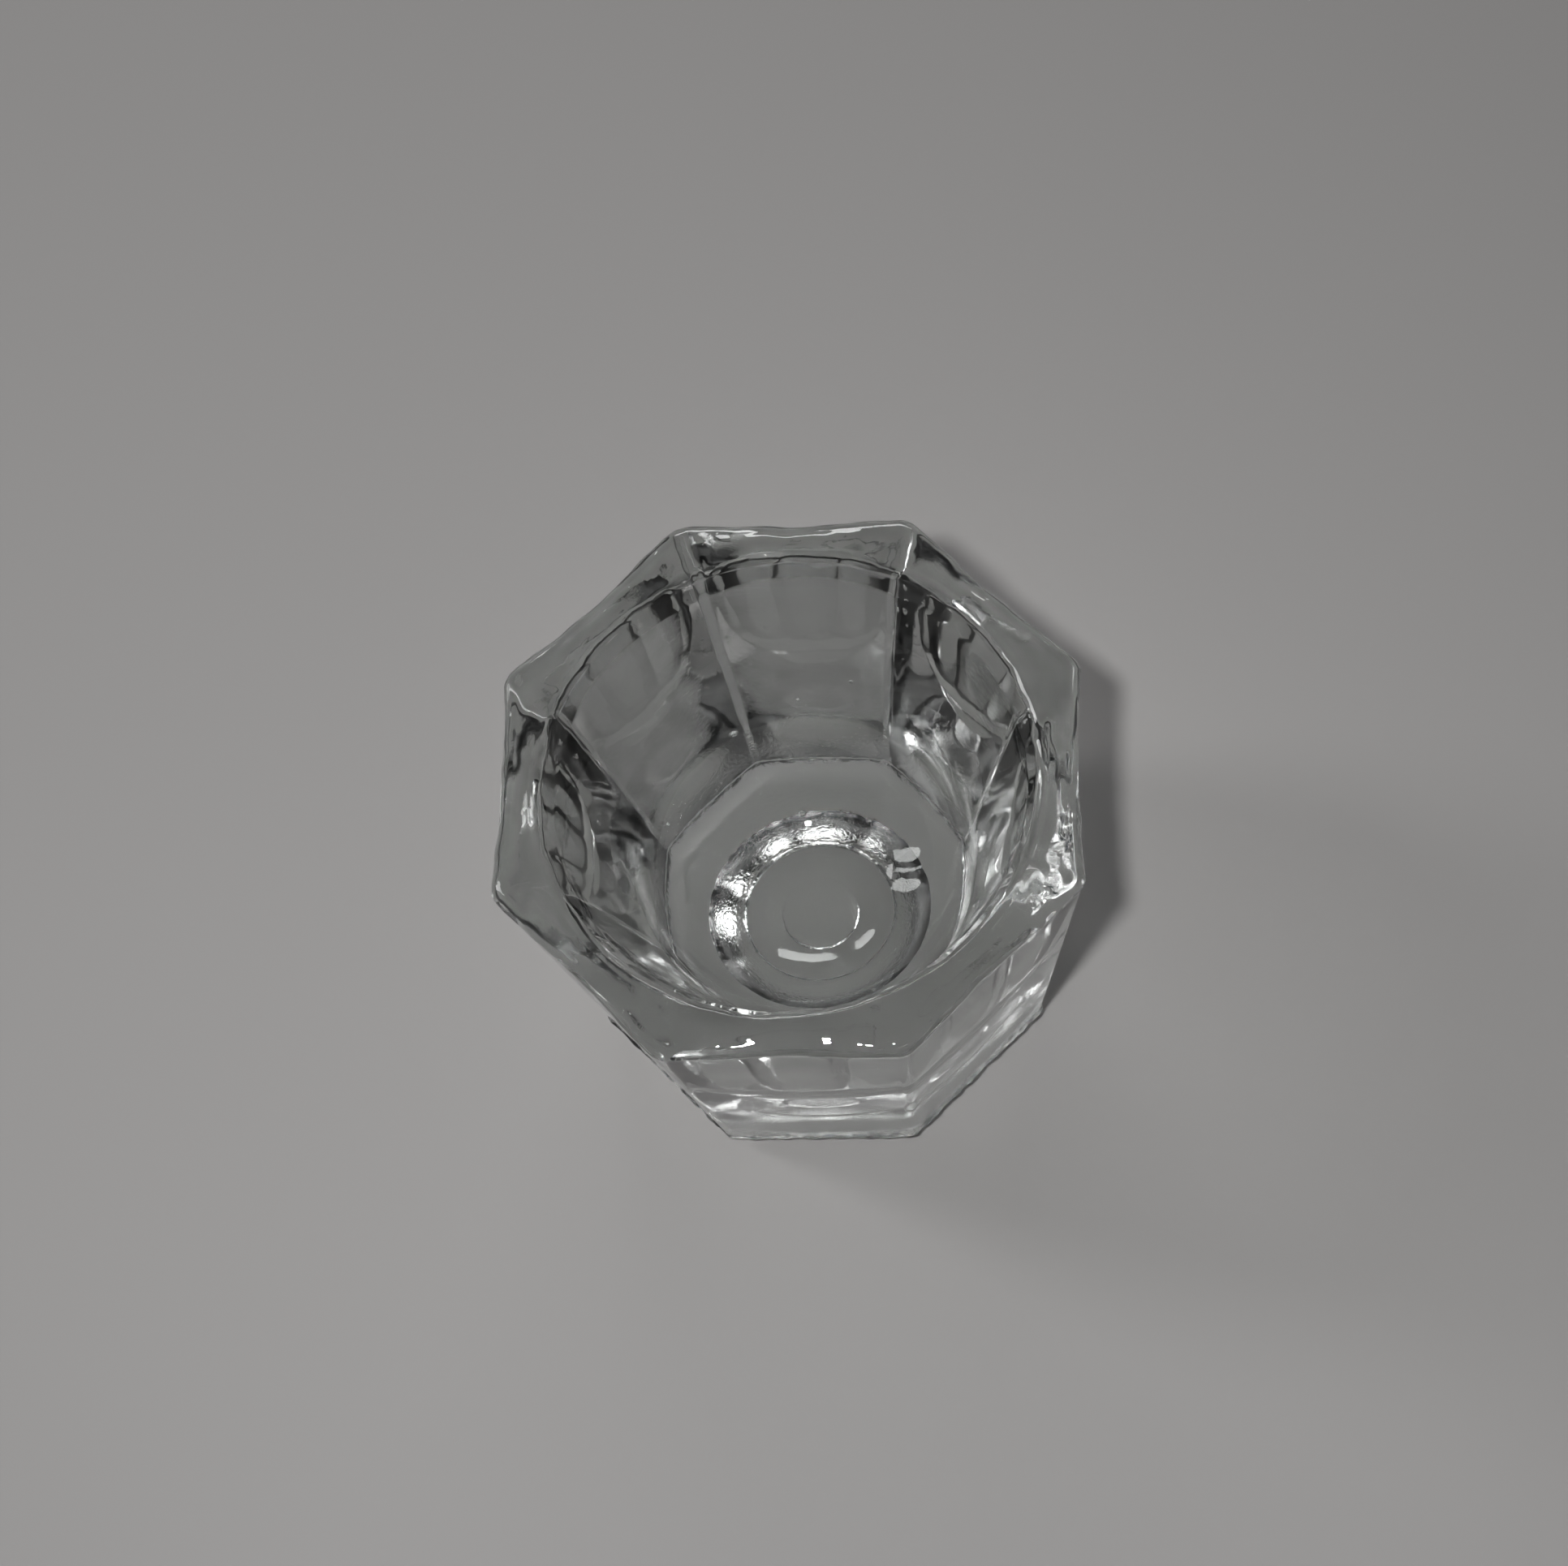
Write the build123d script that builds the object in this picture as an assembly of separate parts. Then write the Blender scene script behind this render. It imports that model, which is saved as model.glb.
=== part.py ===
"""Octagonal pressed-glass cup for a nail desk, in millimetres, +Z up, origin at the foot's centre.

The cup is one piece of clear glass. Eight flat facets lean in from a thick, rounded lip to a
smaller foot. A round, bowl-bottomed cavity is pressed in from above, and a coned hollow under the
foot leaves a flat ring to stand on.
"""

import os
from math import atan2, cos, degrees, radians, sin, sqrt, tan

from build123d import *

# Outside
height = 31.0                 # foot to the top of the lip
rim_across_flats = 40.0       # facet to facet, at the lip
foot_across_flats = 32.5      # facet to facet, at the foot
sides = 8
corner_radius = 1.5           # rounding of the upright edges between facets
lip_outer_radius = 0.9        # fire-polished outer edge of the lip
foot_edge_radius = 0.7        # outer edge of the foot

# Cavity
lip_width = 3.2               # glass at the lip, from a facet to the mouth
lip_inner_radius = 0.8        # fire-polished inner edge of the lip
cavity_draft = 16.0           # degrees that the cavity's wall leans in
bowl_radius = 11.0            # rounding from the wall into the floor
bowl_flat_radius = 0.5        # least flat left in the middle of the bowl
floor_thickness = 4.2         # least glass between the cavity and the hollow under the foot

# Hollow under the foot
foot_ring_width = 6.8         # flat glass that rests on the table, at a facet
hollow_depth = 3.0            # foot to the edge of the hollow's roof
hollow_slope = 45.0           # degrees that the hollow's wall rises from the table
roof_rise = 0.8               # how far the roof is domed up in its middle
roof_edge_radius = 0.8        # rounding between the hollow's wall and its roof
pad_radius = 3.0              # plain round pad in the middle of the roof
pad_drop = 0.3                # how far the pad's face stands down from the top of the roof

# Line left by the mould around the body, above the foot
seam_height = 2.0             # foot to the middle of the line
seam_width = 0.35
seam_proud = 0.1

# Worked out from the values above
mouth_radius = rim_across_flats / 2 - lip_width
hollow_radius = foot_across_flats / 2 - foot_ring_width
roof_top = hollow_depth + roof_rise
cavity_floor = roof_top + floor_thickness


def octagon_at(z, proud=0.0):
    """The outside of the body as a flat section at height z, grown outward by proud."""
    across_flats = foot_across_flats + (rim_across_flats - foot_across_flats) * z / height
    with BuildSketch(Plane.XY.offset(z)) as section:
        RegularPolygon(across_flats / 2 + proud, sides, major_radius=False, rotation=180 / sides)
    return section.sketch


def faceted_body():
    """The solid block of glass, drawn up from the foot with its draft, then its edges rounded."""
    draft = degrees(atan2(rim_across_flats - foot_across_flats, 2 * height))
    body = extrude(octagon_at(0), height, dir=(0, 0, 1), taper=-draft)
    upright = body.edges().filter_by(lambda edge: edge.bounding_box().size.Z > height / 2)
    body = fillet(upright, corner_radius)
    body = fillet(body.faces().sort_by(Axis.Z)[-1].edges(), lip_outer_radius)
    return fillet(body.faces().sort_by(Axis.Z)[0].edges(), foot_edge_radius)


def mould_line():
    """The low line that the mould's base plate leaves on the facets and corners."""
    band = extrude(octagon_at(seam_height, seam_proud), seam_width / 2, both=True)
    return fillet(band.edges().filter_by(Axis.Z), corner_radius)


def cavity():
    """The room inside: a leaning wall, then a bowl, turned about the cup's axis."""
    draft = radians(cavity_draft)
    room = mouth_radius - (height - cavity_floor) * tan(draft) - bowl_flat_radius
    bowl = min(bowl_radius, room / (1 / cos(draft) - tan(draft)))
    bowl_z = cavity_floor + bowl
    bowl_r = mouth_radius - (height - bowl_z) * tan(draft) - bowl / cos(draft)
    wall_foot = (bowl_r + bowl * cos(draft), bowl_z - bowl * sin(draft))
    halfway = radians(45 + cavity_draft / 2)
    bowl_middle = (bowl_r + bowl * cos(halfway), bowl_z - bowl * sin(halfway))
    with BuildPart() as inside:
        with BuildSketch(Plane.XZ):
            with BuildLine():
                Line((0, cavity_floor), (bowl_r, cavity_floor))
                ThreePointArc((bowl_r, cavity_floor), bowl_middle, wall_foot)
                Polyline(wall_foot, (mouth_radius, height), (0, height), (0, cavity_floor))
            make_face()
        revolve(axis=Axis.Z)
    return inside.part


def foot_hollow():
    """The coned hollow under the foot, with its domed roof and the plain pad in the middle."""
    roof_radius = hollow_radius - hollow_depth / tan(radians(hollow_slope))
    dome_radius = (roof_radius**2 + roof_rise**2) / (2 * roof_rise)
    half_r = roof_radius / 2
    half_z = roof_top - dome_radius + sqrt(dome_radius**2 - half_r**2)
    with BuildPart() as hollow:
        with BuildSketch(Plane.XZ) as profile:
            with BuildLine():
                Polyline((0, roof_top), (0, 0), (hollow_radius, 0), (roof_radius, hollow_depth))
                ThreePointArc((roof_radius, hollow_depth), (half_r, half_z), (0, roof_top))
            make_face()
            fillet(profile.vertices().sort_by_distance((roof_radius, hollow_depth))[0], roof_edge_radius)
        revolve(axis=Axis.Z)
    pad = Pos(0, 0, roof_top - pad_drop) * Cylinder(
        pad_radius, pad_drop, align=(Align.CENTER, Align.CENTER, Align.MIN)
    )
    return hollow.part - pad


def glass_cup():
    """The finished cup."""
    cup = faceted_body() + mould_line() - cavity() - foot_hollow()
    lip = cup.faces().filter_by(Axis.Z).sort_by(Axis.Z)[-1]
    mouth = lip.inner_wires()[0].edges()
    return fillet(mouth, lip_inner_radius)


os.makedirs("parts", exist_ok=True)
export_step(glass_cup(), "parts/glass_cup.step")
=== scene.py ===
# %% [markdown]
# # A pressed-glass octagonal cup for a nail desk
#
# This lesson builds one small cup of clear pressed glass, thick-walled and heavy for its size.
# Eight flat facets lean in from a fire-polished lip to a smaller foot, and a round bowl is pressed
# into the top. Clear glass hides nothing: each wave and grain of its skin bends the light, so most
# of the work is in the surface. The lesson starts by loading the measured model as a fixed frame.

# %% Load the frame and keep its box
from math import atan, cos, hypot, pi, radians, sin, sqrt, tan

import bmesh
import bpy
from mathutils import Matrix, Vector


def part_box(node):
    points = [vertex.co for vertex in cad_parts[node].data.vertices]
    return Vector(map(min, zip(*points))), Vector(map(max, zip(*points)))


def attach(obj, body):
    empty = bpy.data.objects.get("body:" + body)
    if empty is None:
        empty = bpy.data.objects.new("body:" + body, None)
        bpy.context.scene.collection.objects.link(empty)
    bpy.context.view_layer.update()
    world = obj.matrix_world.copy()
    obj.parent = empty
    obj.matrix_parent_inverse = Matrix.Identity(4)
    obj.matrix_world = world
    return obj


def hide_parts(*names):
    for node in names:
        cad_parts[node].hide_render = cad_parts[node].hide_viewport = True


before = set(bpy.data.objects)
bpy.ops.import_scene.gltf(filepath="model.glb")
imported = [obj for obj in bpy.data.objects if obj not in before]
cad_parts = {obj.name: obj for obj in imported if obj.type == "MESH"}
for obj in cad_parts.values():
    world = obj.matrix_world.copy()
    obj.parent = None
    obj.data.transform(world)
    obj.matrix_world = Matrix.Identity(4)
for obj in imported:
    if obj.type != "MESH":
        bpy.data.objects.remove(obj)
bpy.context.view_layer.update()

cup_low, cup_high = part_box("glass_cup")
MM = 0.001
print("cup box in mm", [round(v / MM, 2) for v in (*cup_low, *cup_high)])

# %% [markdown]
# ## The camera and the light
#
# The camera looks down into the cup from in front, tipped a little to one side. A real bench lamp
# for glass is small and stands close to the lens: its light goes through the bowl to the table
# under the foot and comes straight back. So the key light is a small disc just left of the camera. Two
# larger lamps, one at the left and one behind, put bright streaks in the lip and the bowl. The room
# around is kept dim, which gives the glass its dark edges.

# %% Camera and lamps
LENS = 64.37                      # mm, on the usual 36 mm wide sensor
LOOK_AZIMUTH, LOOK_ELEVATION, LOOK_ROLL = radians(14.239), radians(64.948), radians(-14.373)
LOOK_SIDE, LOOK_UP, LOOK_AWAY = 0.139 * MM, 0.491 * MM, 189.98 * MM

back = Vector((sin(LOOK_AZIMUTH) * cos(LOOK_ELEVATION),
               -cos(LOOK_AZIMUTH) * cos(LOOK_ELEVATION),
               sin(LOOK_ELEVATION)))
level = Vector((0, 0, 1)).cross(back).normalized()
right = cos(LOOK_ROLL) * level + sin(LOOK_ROLL) * back.cross(level)
up = back.cross(right)
lip_centre = Vector((0, 0, cup_high.z))
eye = lip_centre - LOOK_SIDE * right - LOOK_UP * up + LOOK_AWAY * back

camera = bpy.data.objects.new("camera", bpy.data.cameras.new("camera"))
bpy.context.scene.collection.objects.link(camera)
camera.matrix_world = Matrix((right, up, back)).transposed().to_4x4()
camera.location = eye
camera.data.lens = LENS
camera.data.sensor_width = 36
camera.data.clip_start = 0.001
bpy.context.scene.camera = camera

KEY_SIDE, KEY_UP = -20 * MM, 9 * MM
KEY_WIDTH, KEY_POWER = 12 * MM, 0.25
SIDE_PLACE, SIDE_WIDE, SIDE_TALL, SIDE_POWER = Vector((-0.36, 0.09, 0.25)), 0.10, 0.28, 0.5
BACK_PLACE, BACK_WIDE, BACK_TALL, BACK_POWER = Vector((-0.05, 0.45, 0.30)), 0.35, 0.06, 0.45
LAMP_AIM = Vector((0, 0, 0.01))


def soft_light(name, place, wide, tall, power):
    """A lamp with a face of a given size, turned to look at the lower part of the cup."""
    lamp = bpy.data.objects.new(name, bpy.data.lights.new(name, "AREA"))
    bpy.context.scene.collection.objects.link(lamp)
    lamp.data.shape = "ELLIPSE"
    lamp.data.size, lamp.data.size_y = wide, tall
    lamp.data.energy = power
    lamp.location = place
    lamp.rotation_mode = "QUATERNION"
    lamp.rotation_quaternion = (place - LAMP_AIM).to_track_quat("Z", "Y")


soft_light("key light", eye + KEY_SIDE * right + KEY_UP * up, KEY_WIDTH, KEY_WIDTH, KEY_POWER)
soft_light("side light", SIDE_PLACE, SIDE_WIDE, SIDE_TALL, SIDE_POWER)
soft_light("back light", BACK_PLACE, BACK_WIDE, BACK_TALL, BACK_POWER)

# The room is dim overhead and paler towards the horizon. The fade runs over the height of the view
# direction, which is 0 at the horizon and 1 straight up.
ROOM_HIGH, ROOM_LOW = 0.02, 0.16
FADE_FROM, FADE_TO = 0.1, 0.6
world = bpy.data.worlds.new("dim room")
world.use_nodes = True
sky = world.node_tree
sky_place = sky.nodes.new("ShaderNodeTexCoord")
sky_split = sky.nodes.new("ShaderNodeSeparateXYZ")
sky_fade = sky.nodes.new("ShaderNodeMapRange")
sky_fade.interpolation_type = "SMOOTHSTEP"
sky_fade.inputs["From Min"].default_value = FADE_FROM
sky_fade.inputs["From Max"].default_value = FADE_TO
sky_fade.inputs["To Min"].default_value = ROOM_LOW
sky_fade.inputs["To Max"].default_value = ROOM_HIGH
sky.links.new(sky_place.outputs["Generated"], sky_split.inputs[0])
sky.links.new(sky_split.outputs["Z"], sky_fade.inputs["Value"])
sky.links.new(sky_fade.outputs["Result"], sky.nodes["Background"].inputs["Color"])
bpy.context.scene.world = world
bpy.context.scene.view_settings.view_transform = "Standard"
print("camera at mm", [round(v / MM, 1) for v in eye])

# %% [markdown]
# ## The table
#
# A plain pale table top, wide enough to fill the camera's view. It isn't part of the cup. It lies
# a hair under the foot, so that glass and table never share a surface.

# %% Table top
TABLE_TONE = (0.40, 0.39, 0.385, 1)
TABLE_SIZE, TABLE_GAP = 3, 0.02 * MM
bpy.ops.object.select_all(action="DESELECT")
bpy.ops.mesh.primitive_plane_add(size=TABLE_SIZE, location=(0, 0, cup_low.z - TABLE_GAP))
table = bpy.context.object
table.name = "table"
bpy.ops.object.transform_apply(location=True)
table_skin = bpy.data.materials.new("pale table")
table_skin.use_nodes = True
table_shader = table_skin.node_tree.nodes["Principled BSDF"]
table_shader.inputs["Base Color"].default_value = TABLE_TONE
table_shader.inputs["Roughness"].default_value = 0.7
table.data.materials.append(table_skin)

# %% [markdown]
# ## The section of the mould
#
# In the factory the outside comes from a steel mould with eight flat sides, and its corners are
# eased so that the glass lets go. Here the same section is drawn first as a loop of edges: a
# circle of eight corners, the corners bevelled round, and the flats cut into short lengths so that
# they can carry the waves of the lip later on.

# %% The octagonal loop at the foot
SIDES = 8
FOOT_ACROSS, RIM_ACROSS = 32.5 * MM, 40.0 * MM
CORNER_EASE, CORNER_CUTS, FLAT_CUTS = 1.2 * MM, 8, 39
HEIGHT = cup_high.z - cup_low.z
half_side = pi / SIDES
bpy.ops.object.select_all(action="DESELECT")
bpy.ops.mesh.primitive_circle_add(
    vertices=SIDES, radius=FOOT_ACROSS / 2 / cos(half_side), fill_type="NOTHING",
    rotation=(0, 0, half_side), location=(0, 0, cup_low.z))
cup = bpy.context.object
cup.name = "pressed_glass_cup"
bpy.ops.object.transform_apply(location=True, rotation=True, scale=True)
bpy.ops.object.mode_set(mode="EDIT")
bpy.ops.mesh.select_all(action="SELECT")
bpy.ops.mesh.bevel(
    offset=CORNER_EASE * tan(half_side), offset_type="OFFSET", segments=CORNER_CUTS,
    affect="VERTICES")
bpy.ops.object.mode_set(mode="OBJECT")


def edge_length(edge):
    """How long an edge of the cup is."""
    a, b = (cup.data.vertices[i].co for i in edge.vertices)
    return (a - b).length


for vertex in cup.data.vertices:
    vertex.select = False
for edge in cup.data.edges:
    edge.select = edge_length(edge) > CORNER_EASE * 2
bpy.ops.object.mode_set(mode="EDIT")
bpy.ops.mesh.select_mode(type="EDGE")
bpy.ops.mesh.subdivide(number_cuts=FLAT_CUTS)
bpy.ops.mesh.select_mode(type="VERT")
bpy.ops.mesh.select_all(action="SELECT")
AROUND = len(bmesh.from_edit_mesh(cup.data).verts)
print("points around the cup", AROUND)

# %% [markdown]
# ## Drawing the glass up from the foot
#
# The shape could be cut from blocks with booleans, but a clean run of rings bends light without
# kinks, so each ring is extruded from the last one and set to its size. One helper does it all:
# it extrudes the loop, lifts it, and resizes it about the cup's axis. The foot's edge is a quarter
# round that is wider than it is high, and the line that the mould's base plate leaves stands a
# little proud.

# %% The ring helper


def ring_now():
    """Height and least radius of the selected ring."""
    picked = [v.co for v in bmesh.from_edit_mesh(cup.data).verts if v.select]
    return picked[0].z, min(hypot(p.x, p.y) for p in picked)


def next_ring(height, radius, rounding=0.0):
    """Extrudes the selected ring to a height and least radius, and may make it rounder."""
    old_height = ring_now()[0]
    bpy.ops.mesh.extrude_edges_move(TRANSFORM_OT_translate={"value": (0, 0, height - old_height)})
    if rounding:
        bpy.ops.transform.tosphere(value=rounding)
    grow = radius / ring_now()[1]
    bpy.ops.transform.resize(value=(grow, grow, 1), center_override=(0, 0, height))


def outside_at(height):
    """Half the width across the flats at a height."""
    return (FOOT_ACROSS + (RIM_ACROSS - FOOT_ACROSS) * (height - cup_low.z) / HEIGHT) / 2


# %% Foot edge, facets and mould line
FOOT_ROUND_IN, FOOT_ROUND_UP = 2.6 * MM, 1.9 * MM
SEAM_HEIGHT, SEAM_WIDE, SEAM_PROUD = 2.2 * MM, 0.35 * MM, 0.12 * MM
LIP_ROUND = 1.0 * MM
FOOT_STEPS, FACET_RINGS = 12, 44
foot_shrink = 1 - FOOT_ROUND_IN / outside_at(0)
bpy.ops.transform.resize(value=(foot_shrink, foot_shrink, 1), center_override=(0, 0, 0))
for step in range(1, FOOT_STEPS + 1):
    turn = step / FOOT_STEPS * pi / 2
    height = FOOT_ROUND_UP * (1 - cos(turn))
    next_ring(height, outside_at(height) - FOOT_ROUND_IN * (1 - sin(turn)))
# Each point of the mould line's section: its place in half widths, and its share of the height.
seam_section = [(-1.0, 0), (-0.7, 0.6), (-0.4, 0.9), (0, 1), (0.4, 0.9), (0.7, 0.6), (1.0, 0)]
for along, out in seam_section:
    height = SEAM_HEIGHT + along * SEAM_WIDE / 2
    next_ring(height, outside_at(height) + out * SEAM_PROUD)
facet_start = SEAM_HEIGHT + SEAM_WIDE
for step in range(FACET_RINGS):
    height = facet_start + (HEIGHT - LIP_ROUND - facet_start) * step / (FACET_RINGS - 1)
    next_ring(height, outside_at(height))
print("outside drawn to mm", [round(v / MM, 2) for v in ring_now()])

# %% [markdown]
# ## The lip, from eight sides to round
#
# The lip is where the octagon outside meets the round bowl inside. Each ring across it is pulled
# part of the way to a circle, so that the last one is truly round. A flame softened this edge in
# the factory, so both its edges are quarter rounds and its top is very slightly crowned.

# %% Lip
MOUTH_RADIUS = 16.8 * MM
MOUTH_ROUND = 0.9 * MM
LIP_CROWN = 0.12 * MM
LIP_STEPS, LIP_RINGS = 6, 9
for step in range(1, LIP_STEPS + 1):
    turn = step / LIP_STEPS * pi / 2
    height = HEIGHT - LIP_ROUND * (1 - sin(turn))
    next_ring(height, outside_at(HEIGHT) - LIP_ROUND * (1 - cos(turn)))
lip_from, lip_to = outside_at(HEIGHT) - LIP_ROUND, MOUTH_RADIUS + MOUTH_ROUND
for step in range(1, LIP_RINGS + 1):
    share = step / LIP_RINGS
    next_ring(HEIGHT + LIP_CROWN * sin(pi * share), lip_from + (lip_to - lip_from) * share,
              rounding=1 / (LIP_RINGS - step + 1))
for step in range(1, LIP_STEPS + 1):
    turn = step / LIP_STEPS * pi / 2
    next_ring(HEIGHT - MOUTH_ROUND * (1 - cos(turn)),
              MOUTH_RADIUS + MOUTH_ROUND * (1 - sin(turn)))
print("mouth at mm", [round(v / MM, 2) for v in ring_now()])

# %% [markdown]
# ## The bowl inside
#
# A round plunger presses the room inside: a wall that leans in by 16 degrees, then a bowl that
# runs without a corner into the middle of the floor. The last ring is merged to one point.

# %% Cavity wall and bowl
WALL_LEAN = radians(16)
BOWL_ROUND = 11.0 * MM
FLOOR_HEIGHT = 8.0 * MM
bowl_centre_z = FLOOR_HEIGHT + BOWL_ROUND
bowl_centre_r = (MOUTH_RADIUS - (HEIGHT - bowl_centre_z) * tan(WALL_LEAN)
                 - BOWL_ROUND / cos(WALL_LEAN))
wall_foot_z = bowl_centre_z - BOWL_ROUND * sin(WALL_LEAN)
wall_top_z = ring_now()[0]
WALL_RINGS, BOWL_RINGS, FLOOR_RINGS = 22, 26, 4
for step in range(1, WALL_RINGS + 1):
    height = wall_top_z + (wall_foot_z - wall_top_z) * step / WALL_RINGS
    next_ring(height, MOUTH_RADIUS - (HEIGHT - height) * tan(WALL_LEAN))
for step in range(1, BOWL_RINGS + 1):
    turn = WALL_LEAN + (pi / 2 - WALL_LEAN) * step / BOWL_RINGS
    next_ring(bowl_centre_z - BOWL_ROUND * sin(turn), bowl_centre_r + BOWL_ROUND * cos(turn))
for step in range(1, FLOOR_RINGS):
    next_ring(FLOOR_HEIGHT, bowl_centre_r * (1 - step / FLOOR_RINGS))
bpy.ops.mesh.extrude_edges_move(TRANSFORM_OT_translate={"value": (0, 0, 0)})
bpy.ops.mesh.merge(type="CENTER")
print("cavity floor closed at mm", round(FLOOR_HEIGHT / MM, 2))

# %% [markdown]
# ## The hollow under the foot
#
# The cup stands on a flat ring, so that it can't rock. Inside the ring the mould leaves a hollow
# with a curved wall, a small step, a gently domed roof and a plain round pad in its middle. It is
# drawn with the same helper, from the first ring inwards. Seen from above through the bowl, the
# curved wall is a ring round the roof.

# %% Foot ring, hollow, dome and pad
HOLLOW_RADIUS, HOLLOW_DEPTH = 11.15 * MM, 3.0 * MM
ROOF_RADIUS, ROOF_STEP, ROOF_RISE = 6.45 * MM, 0.35 * MM, 0.5 * MM
PAD_RADIUS, PAD_DROP, PAD_EASE = 3.0 * MM, 0.3 * MM, 0.12 * MM
SEAT_EASE_IN, SEAT_EASE_UP = 0.1 * MM, 0.04 * MM
STEP_EASE_UP, STEP_EASE_IN, STEP_IN = 0.05 * MM, 0.04 * MM, 0.12 * MM
FOOT_RINGS, HOLLOW_RINGS, ROOF_RINGS, PAD_RINGS = 8, 14, 8, 5

bpy.ops.mesh.select_all(action="DESELECT")
bpy.ops.object.mode_set(mode="OBJECT")
for vertex in cup.data.vertices:
    vertex.select = vertex.index < AROUND
bpy.ops.object.mode_set(mode="EDIT")
foot_from = ring_now()[1]
for step in range(1, FOOT_RINGS + 1):
    share = step / FOOT_RINGS
    next_ring(0, foot_from + (HOLLOW_RADIUS + SEAT_EASE_IN - foot_from) * share,
              rounding=1 / (FOOT_RINGS - step + 1))
next_ring(SEAT_EASE_UP, HOLLOW_RADIUS)
hollow_low, hollow_out = ring_now()
hollow_run, hollow_rise = hollow_out - ROOF_RADIUS, HOLLOW_DEPTH - hollow_low
hollow_slope = atan(hollow_rise / hollow_run)
slope_change = radians(15)
hollow_arc = hypot(hollow_run, hollow_rise) / (2 * sin(slope_change))
steepest = hollow_slope + slope_change
for step in range(1, HOLLOW_RINGS + 1):
    slope = hollow_slope + slope_change * (1 - 2 * step / HOLLOW_RINGS)
    next_ring(hollow_low + hollow_arc * (cos(slope) - cos(steepest)),
              hollow_out - hollow_arc * (sin(steepest) - sin(slope)))
next_ring(HOLLOW_DEPTH + STEP_EASE_UP, ROOF_RADIUS - STEP_EASE_IN)
next_ring(HOLLOW_DEPTH + ROOF_STEP, ROOF_RADIUS - STEP_IN)
roof_low, roof_out = ring_now()
dome_radius = (roof_out**2 + ROOF_RISE**2) / (2 * ROOF_RISE)


def roof_at(radius):
    """Height of the domed roof at a radius."""
    return roof_low + ROOF_RISE - dome_radius + sqrt(dome_radius**2 - radius**2)


for step in range(1, ROOF_RINGS + 1):
    radius = roof_out + (PAD_RADIUS + PAD_EASE - roof_out) * step / ROOF_RINGS
    next_ring(roof_at(radius), radius)
pad_height = roof_at(0) - PAD_DROP
next_ring((roof_at(PAD_RADIUS) + pad_height) / 2, PAD_RADIUS)
next_ring(pad_height, PAD_RADIUS - PAD_EASE)
for step in range(1, PAD_RINGS):
    next_ring(pad_height, (PAD_RADIUS - PAD_EASE) * (1 - step / PAD_RINGS))
bpy.ops.mesh.extrude_edges_move(TRANSFORM_OT_translate={"value": (0, 0, 0)})
bpy.ops.mesh.merge(type="CENTER")
bpy.ops.mesh.select_all(action="SELECT")
bpy.ops.mesh.remove_doubles(threshold=0.001 * MM)
bpy.ops.mesh.normals_make_consistent(inside=False)
bpy.ops.object.mode_set(mode="OBJECT")
print("glass faces", len(cup.data.polygons))

# %% [markdown]
# ## Waves, sags and grain in the skin
#
# Pressed glass is never quite true. The lip has sagged between its corners under the flame and has
# slow waves in it, the walls are faintly uneven where the plunger chilled them, and the bottom of
# the facets is rough where the mould's two halves and its base plate meet. Each fault gets its own
# group of weighted points and its own Displace modifier, which is then applied, so that the waves
# are real geometry.

# %% Helpers for weights and displacement


def ease(low, high, value):
    """Runs smoothly from 0 at low to 1 at high."""
    share = min(max((value - low) / (high - low), 0), 1)
    return share * share * (3 - 2 * share)


def weigh(name, rule):
    """Makes a vertex group whose weights come from a rule on each point's place."""
    group = cup.vertex_groups.new(name=name)
    held = 0
    for vertex in cup.data.vertices:
        weight = rule(vertex.co)
        if weight > 0.001:
            group.add([vertex.index], weight, "REPLACE")
            held += 1
    print("weighed", name, held, "points")


def work_skin(name, rule, strength, wave=0.0):
    """Moves the weighted points along their normals, by waves of a length, or evenly if it's 0."""
    weigh(name, rule)
    push = cup.modifiers.new(name, "DISPLACE")
    push.vertex_group = name
    push.strength = strength
    push.mid_level = 0.5 if wave else 0.0
    push.direction = "NORMAL"
    push.texture_coords = "LOCAL"
    if wave:
        cloud = bpy.data.textures.new(name, "CLOUDS")
        cloud.noise_scale = wave
        cloud.noise_depth = 2
        cloud.noise_basis = "BLENDER_ORIGINAL"
        push.texture = cloud
    bpy.context.view_layer.objects.active = cup
    bpy.ops.object.modifier_apply(modifier=name)


def radius_of(p):
    """Distance of a point from the cup's axis."""
    return hypot(p.x, p.y)


def off_corner(p):
    """0 at the corners between the facets, 1 in the middle of each facet."""
    return 0.5 + 0.5 * cos(SIDES * Vector((p.x, p.y)).angle_signed(Vector((1, 0)), 0))


def is_outside(p):
    """True on the facets, on the flat of the lip and on the outer part of the seat."""
    return radius_of(p) > MOUTH_RADIUS + MOUTH_ROUND - (HEIGHT - p.z) * tan(WALL_LEAN) * 0.6


def under_lip(p):
    """1 on the walls, fading to 0 just under the lip."""
    return 1 - ease(HEIGHT - 4 * MM, HEIGHT - 1 * MM, p.z)


# %% Where each fault of the skin is
# The lip's waves start, and are full, this far below the top. The sag is felt this far down.
LIP_DEEP, LIP_FADE, SAG_REACH = 2 * MM, 0.6 * MM, 6 * MM
# The heights where the facets' and the bowl's waves start and are full.
FOOT_CLEAR, FACET_FULL = 2 * MM, 5 * MM
BOWL_CLEAR, BOWL_FULL = 6 * MM, 9 * MM
# The hollow's grain keeps between these heights, so that the seat stays flat.
SEAT_FLAT, HOLLOW_EDGE = 0.03 * MM, 1 * MM


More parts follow.
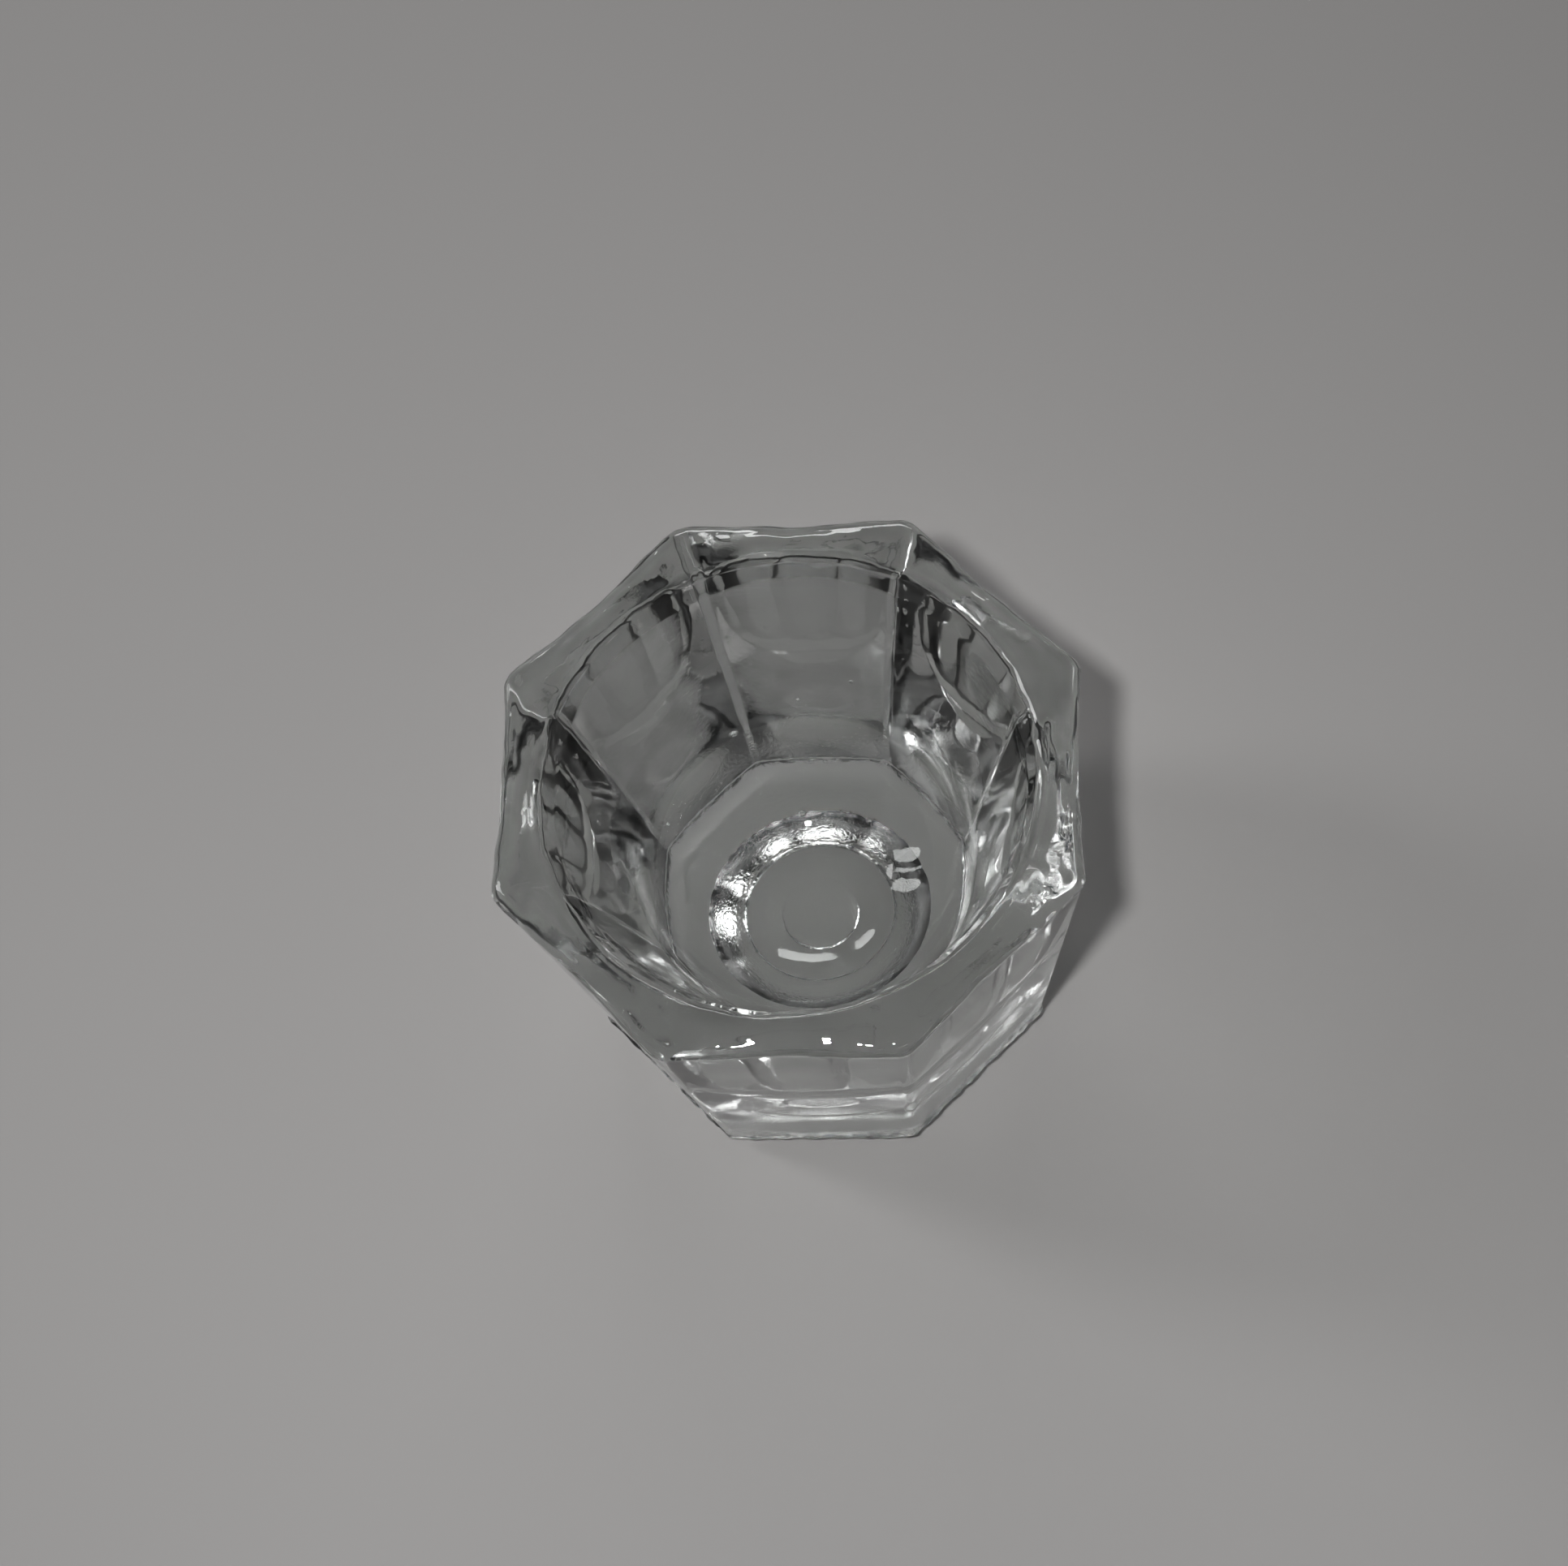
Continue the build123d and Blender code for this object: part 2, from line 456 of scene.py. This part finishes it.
def on_sag(p):
    """The lip, most at its outer edge and in the middle of each facet."""
    return (is_outside(p) * ease(HEIGHT - SAG_REACH, HEIGHT, p.z)
            * off_corner(p) * ease(MOUTH_RADIUS, RIM_ACROSS / 2, radius_of(p)))


def on_lip(p):
    """The whole lip."""
    return ease(HEIGHT - LIP_DEEP, HEIGHT - LIP_FADE, p.z)


def on_facets(p):
    """The facets, between the foot and the lip."""
    return is_outside(p) * ease(FOOT_CLEAR, FACET_FULL, p.z) * under_lip(p)


def on_bowl(p):
    """The bowl and its wall, under the lip."""
    return (not is_outside(p)) * ease(BOWL_CLEAR, BOWL_FULL, p.z) * under_lip(p)


def on_mould_line(p):
    """The outside, close to the mould line."""
    return is_outside(p) * (1 - ease(0.3 * MM, 1.6 * MM, abs(p.z - SEAM_HEIGHT)))


def on_hollow_edge(p):
    """The edge of the hollow, above the flat seat."""
    return ((SEAT_FLAT < p.z < HOLLOW_EDGE)
            * (1 - ease(0.2 * MM, 0.9 * MM, abs(radius_of(p) - HOLLOW_RADIUS))))


# %% Sag, waves and grain, each with its strength and its wave's length
work_skin("lip sag", on_sag, -0.28 * MM)
work_skin("lip waves", on_lip, 0.42 * MM, 3.4 * MM)
work_skin("outside waves", on_facets, 0.035 * MM, 3.0 * MM)
work_skin("bowl waves", on_bowl, 0.03 * MM, 5.0 * MM)
work_skin("mould line grain", on_mould_line, 0.35 * MM, 0.8 * MM)
work_skin("hollow edge grain", on_hollow_edge, 0.20 * MM, 0.7 * MM)
cup.vertex_groups.clear()
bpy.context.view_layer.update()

# %% [markdown]
# ## Seeds in the glass
#
# A few small bubbles, called seeds, stay in glass that is pressed quickly. Each is a tiny hollow, so
# it is a little ball joined into the cup with its faces turned inwards, to the side where the air
# is. The flow of the glass has stretched each one sideways and flattened it.

# %% Seeds
# Each seed: its place and its radius, in mm.
SEEDS = [((-1.6, 8.6, 5.2), 0.30), ((0.9, 7.2, 5.6), 0.22), ((-6.6, 12.6, 13.0), 0.34),
         ((3.4, 14.4, 17.5), 0.16), ((-12.2, 5.5, 11.0), 0.18), ((9.6, 9.3, 10.5), 0.15),
         ((5.2, -8.6, 4.6), 0.17), ((-1.0, 14.0, 15.5), 0.14)]
SEED_STRETCH = (1.25, 1.0, 0.75)
seeds = []
for place, size in SEEDS:
    bpy.ops.object.select_all(action="DESELECT")
    bpy.ops.mesh.primitive_ico_sphere_add(
        subdivisions=3, radius=size * MM, location=[v * MM for v in place])
    seed = bpy.context.object
    bpy.ops.object.transform_apply(location=True)
    bpy.ops.object.mode_set(mode="EDIT")
    bpy.ops.mesh.select_all(action="SELECT")
    bpy.ops.transform.resize(value=SEED_STRETCH, center_override=[v * MM for v in place])
    bpy.ops.mesh.flip_normals()
    bpy.ops.object.mode_set(mode="OBJECT")
    seeds.append(seed)
bpy.ops.object.select_all(action="DESELECT")
for seed in seeds:
    seed.select_set(True)
cup.select_set(True)
bpy.context.view_layer.objects.active = cup
bpy.ops.object.join()
bpy.ops.object.shade_smooth_by_angle(angle=radians(40))
print("seeds joined", len(seeds), "faces now", len(cup.data.polygons))

# %% [markdown]
# ## Clear glass
#
# Soda-lime glass bends light by about 1.52 and has the faintest grey-green tint, a little deeper
# where sand and cullet mixed unevenly. Its skin carries a fine grain from the mould, too small to
# model, so that comes from a bump that is full at the foot and almost gone above it. Both effects
# are node groups, so that they could be reused on another glass.

# %% Glass material


def new_group(name, inputs, outputs):
    """An empty node group. An input is (kind, name, value) and an output is (kind, name)."""
    tree = bpy.data.node_groups.new(name, "ShaderNodeTree")
    for kind, socket, value in inputs:
        made = tree.interface.new_socket(name=socket, in_out="INPUT", socket_type=kind)
        made.default_value = value
    for kind, socket in outputs:
        tree.interface.new_socket(name=socket, in_out="OUTPUT", socket_type=kind)
    return tree, tree.nodes.new("NodeGroupInput"), tree.nodes.new("NodeGroupOutput")


def melt_cords():
    """Colour group: two nearly clear tints, mixed in slow streaks as an uneven melt leaves them."""
    tree, given, made = new_group(
        "melt cords",
        [("NodeSocketColor", "Clear", (1, 1, 1, 1)), ("NodeSocketColor", "Tinted", (1, 1, 1, 1)),
         ("NodeSocketFloat", "Streak size", 100.0)],
        [("NodeSocketColor", "Colour")])
    place = tree.nodes.new("ShaderNodeTexCoord")
    stretch = tree.nodes.new("ShaderNodeMapping")
    stretch.inputs["Scale"].default_value = (1.0, 1.0, 0.35)
    streaks = tree.nodes.new("ShaderNodeTexNoise")
    streaks.inputs["Detail"].default_value = 3
    mix = tree.nodes.new("ShaderNodeMix")
    mix.data_type = "RGBA"
    tree.links.new(place.outputs["Object"], stretch.inputs["Vector"])
    tree.links.new(stretch.outputs["Vector"], streaks.inputs["Vector"])
    tree.links.new(given.outputs["Streak size"], streaks.inputs["Scale"])
    tree.links.new(streaks.outputs["Fac"], mix.inputs["Factor"])
    tree.links.new(given.outputs["Clear"], mix.inputs["A"])
    tree.links.new(given.outputs["Tinted"], mix.inputs["B"])
    tree.links.new(mix.outputs["Result"], made.inputs["Colour"])
    return tree


def mould_grain():
    """Height group: fine grain, full below one height and down to a least share above another."""
    tree, given, made = new_group(
        "mould grain",
        [("NodeSocketFloat", "Grain size", 2500.0), ("NodeSocketFloat", "Full below", 0.003),
         ("NodeSocketFloat", "Gone above", 0.009), ("NodeSocketFloat", "Least", 0.03)],
        [("NodeSocketFloat", "Height")])
    place = tree.nodes.new("ShaderNodeTexCoord")
    split = tree.nodes.new("ShaderNodeSeparateXYZ")
    fade = tree.nodes.new("ShaderNodeMapRange")
    fade.interpolation_type = "SMOOTHSTEP"
    fade.inputs["To Min"].default_value = 1.0
    grain = tree.nodes.new("ShaderNodeTexNoise")
    grain.inputs["Detail"].default_value = 4
    times = tree.nodes.new("ShaderNodeMath")
    times.operation = "MULTIPLY"
    tree.links.new(place.outputs["Object"], split.inputs[0])
    tree.links.new(split.outputs["Z"], fade.inputs["Value"])
    tree.links.new(given.outputs["Full below"], fade.inputs["From Min"])
    tree.links.new(given.outputs["Gone above"], fade.inputs["From Max"])
    tree.links.new(given.outputs["Least"], fade.inputs["To Max"])
    tree.links.new(place.outputs["Object"], grain.inputs["Vector"])
    tree.links.new(given.outputs["Grain size"], grain.inputs["Scale"])
    tree.links.new(grain.outputs["Fac"], times.inputs[0])
    tree.links.new(fade.outputs["Result"], times.inputs[1])
    tree.links.new(times.outputs["Value"], made.inputs["Height"])
    return tree


# %% The clear glass itself
GLASS_BEND = 1.52
CLEAR_TINT, DEEPER_TINT = (0.985, 0.995, 0.988, 1), (0.945, 0.975, 0.955, 1)
STREAK_SIZE, GRAIN_DEEP = 140.0, 0.06 * MM
clear_glass = bpy.data.materials.new("clear pressed glass")
clear_glass.use_nodes = True
tree = clear_glass.node_tree
glass = tree.nodes["Principled BSDF"]
glass.inputs["Metallic"].default_value = 0.0
glass.inputs["Transmission Weight"].default_value = 1.0
glass.inputs["Roughness"].default_value = 0.0
glass.inputs["IOR"].default_value = GLASS_BEND
tint = tree.nodes.new("ShaderNodeGroup")
tint.node_tree = melt_cords()
tint.inputs["Clear"].default_value = CLEAR_TINT
tint.inputs["Tinted"].default_value = DEEPER_TINT
tint.inputs["Streak size"].default_value = STREAK_SIZE
tree.links.new(tint.outputs["Colour"], glass.inputs["Base Color"])
grain = tree.nodes.new("ShaderNodeGroup")
grain.node_tree = mould_grain()
skin = tree.nodes.new("ShaderNodeBump")
skin.inputs["Strength"].default_value = 1.0
skin.inputs["Distance"].default_value = GRAIN_DEEP
tree.links.new(grain.outputs["Height"], skin.inputs["Height"])
tree.links.new(skin.outputs["Normal"], glass.inputs["Normal"])
cup.data.materials.clear()
cup.data.materials.append(clear_glass)
print("glass nodes", [node.name for node in tree.nodes])

# %% Hand the cup to the frame
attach(cup, "root")
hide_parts("glass_cup")
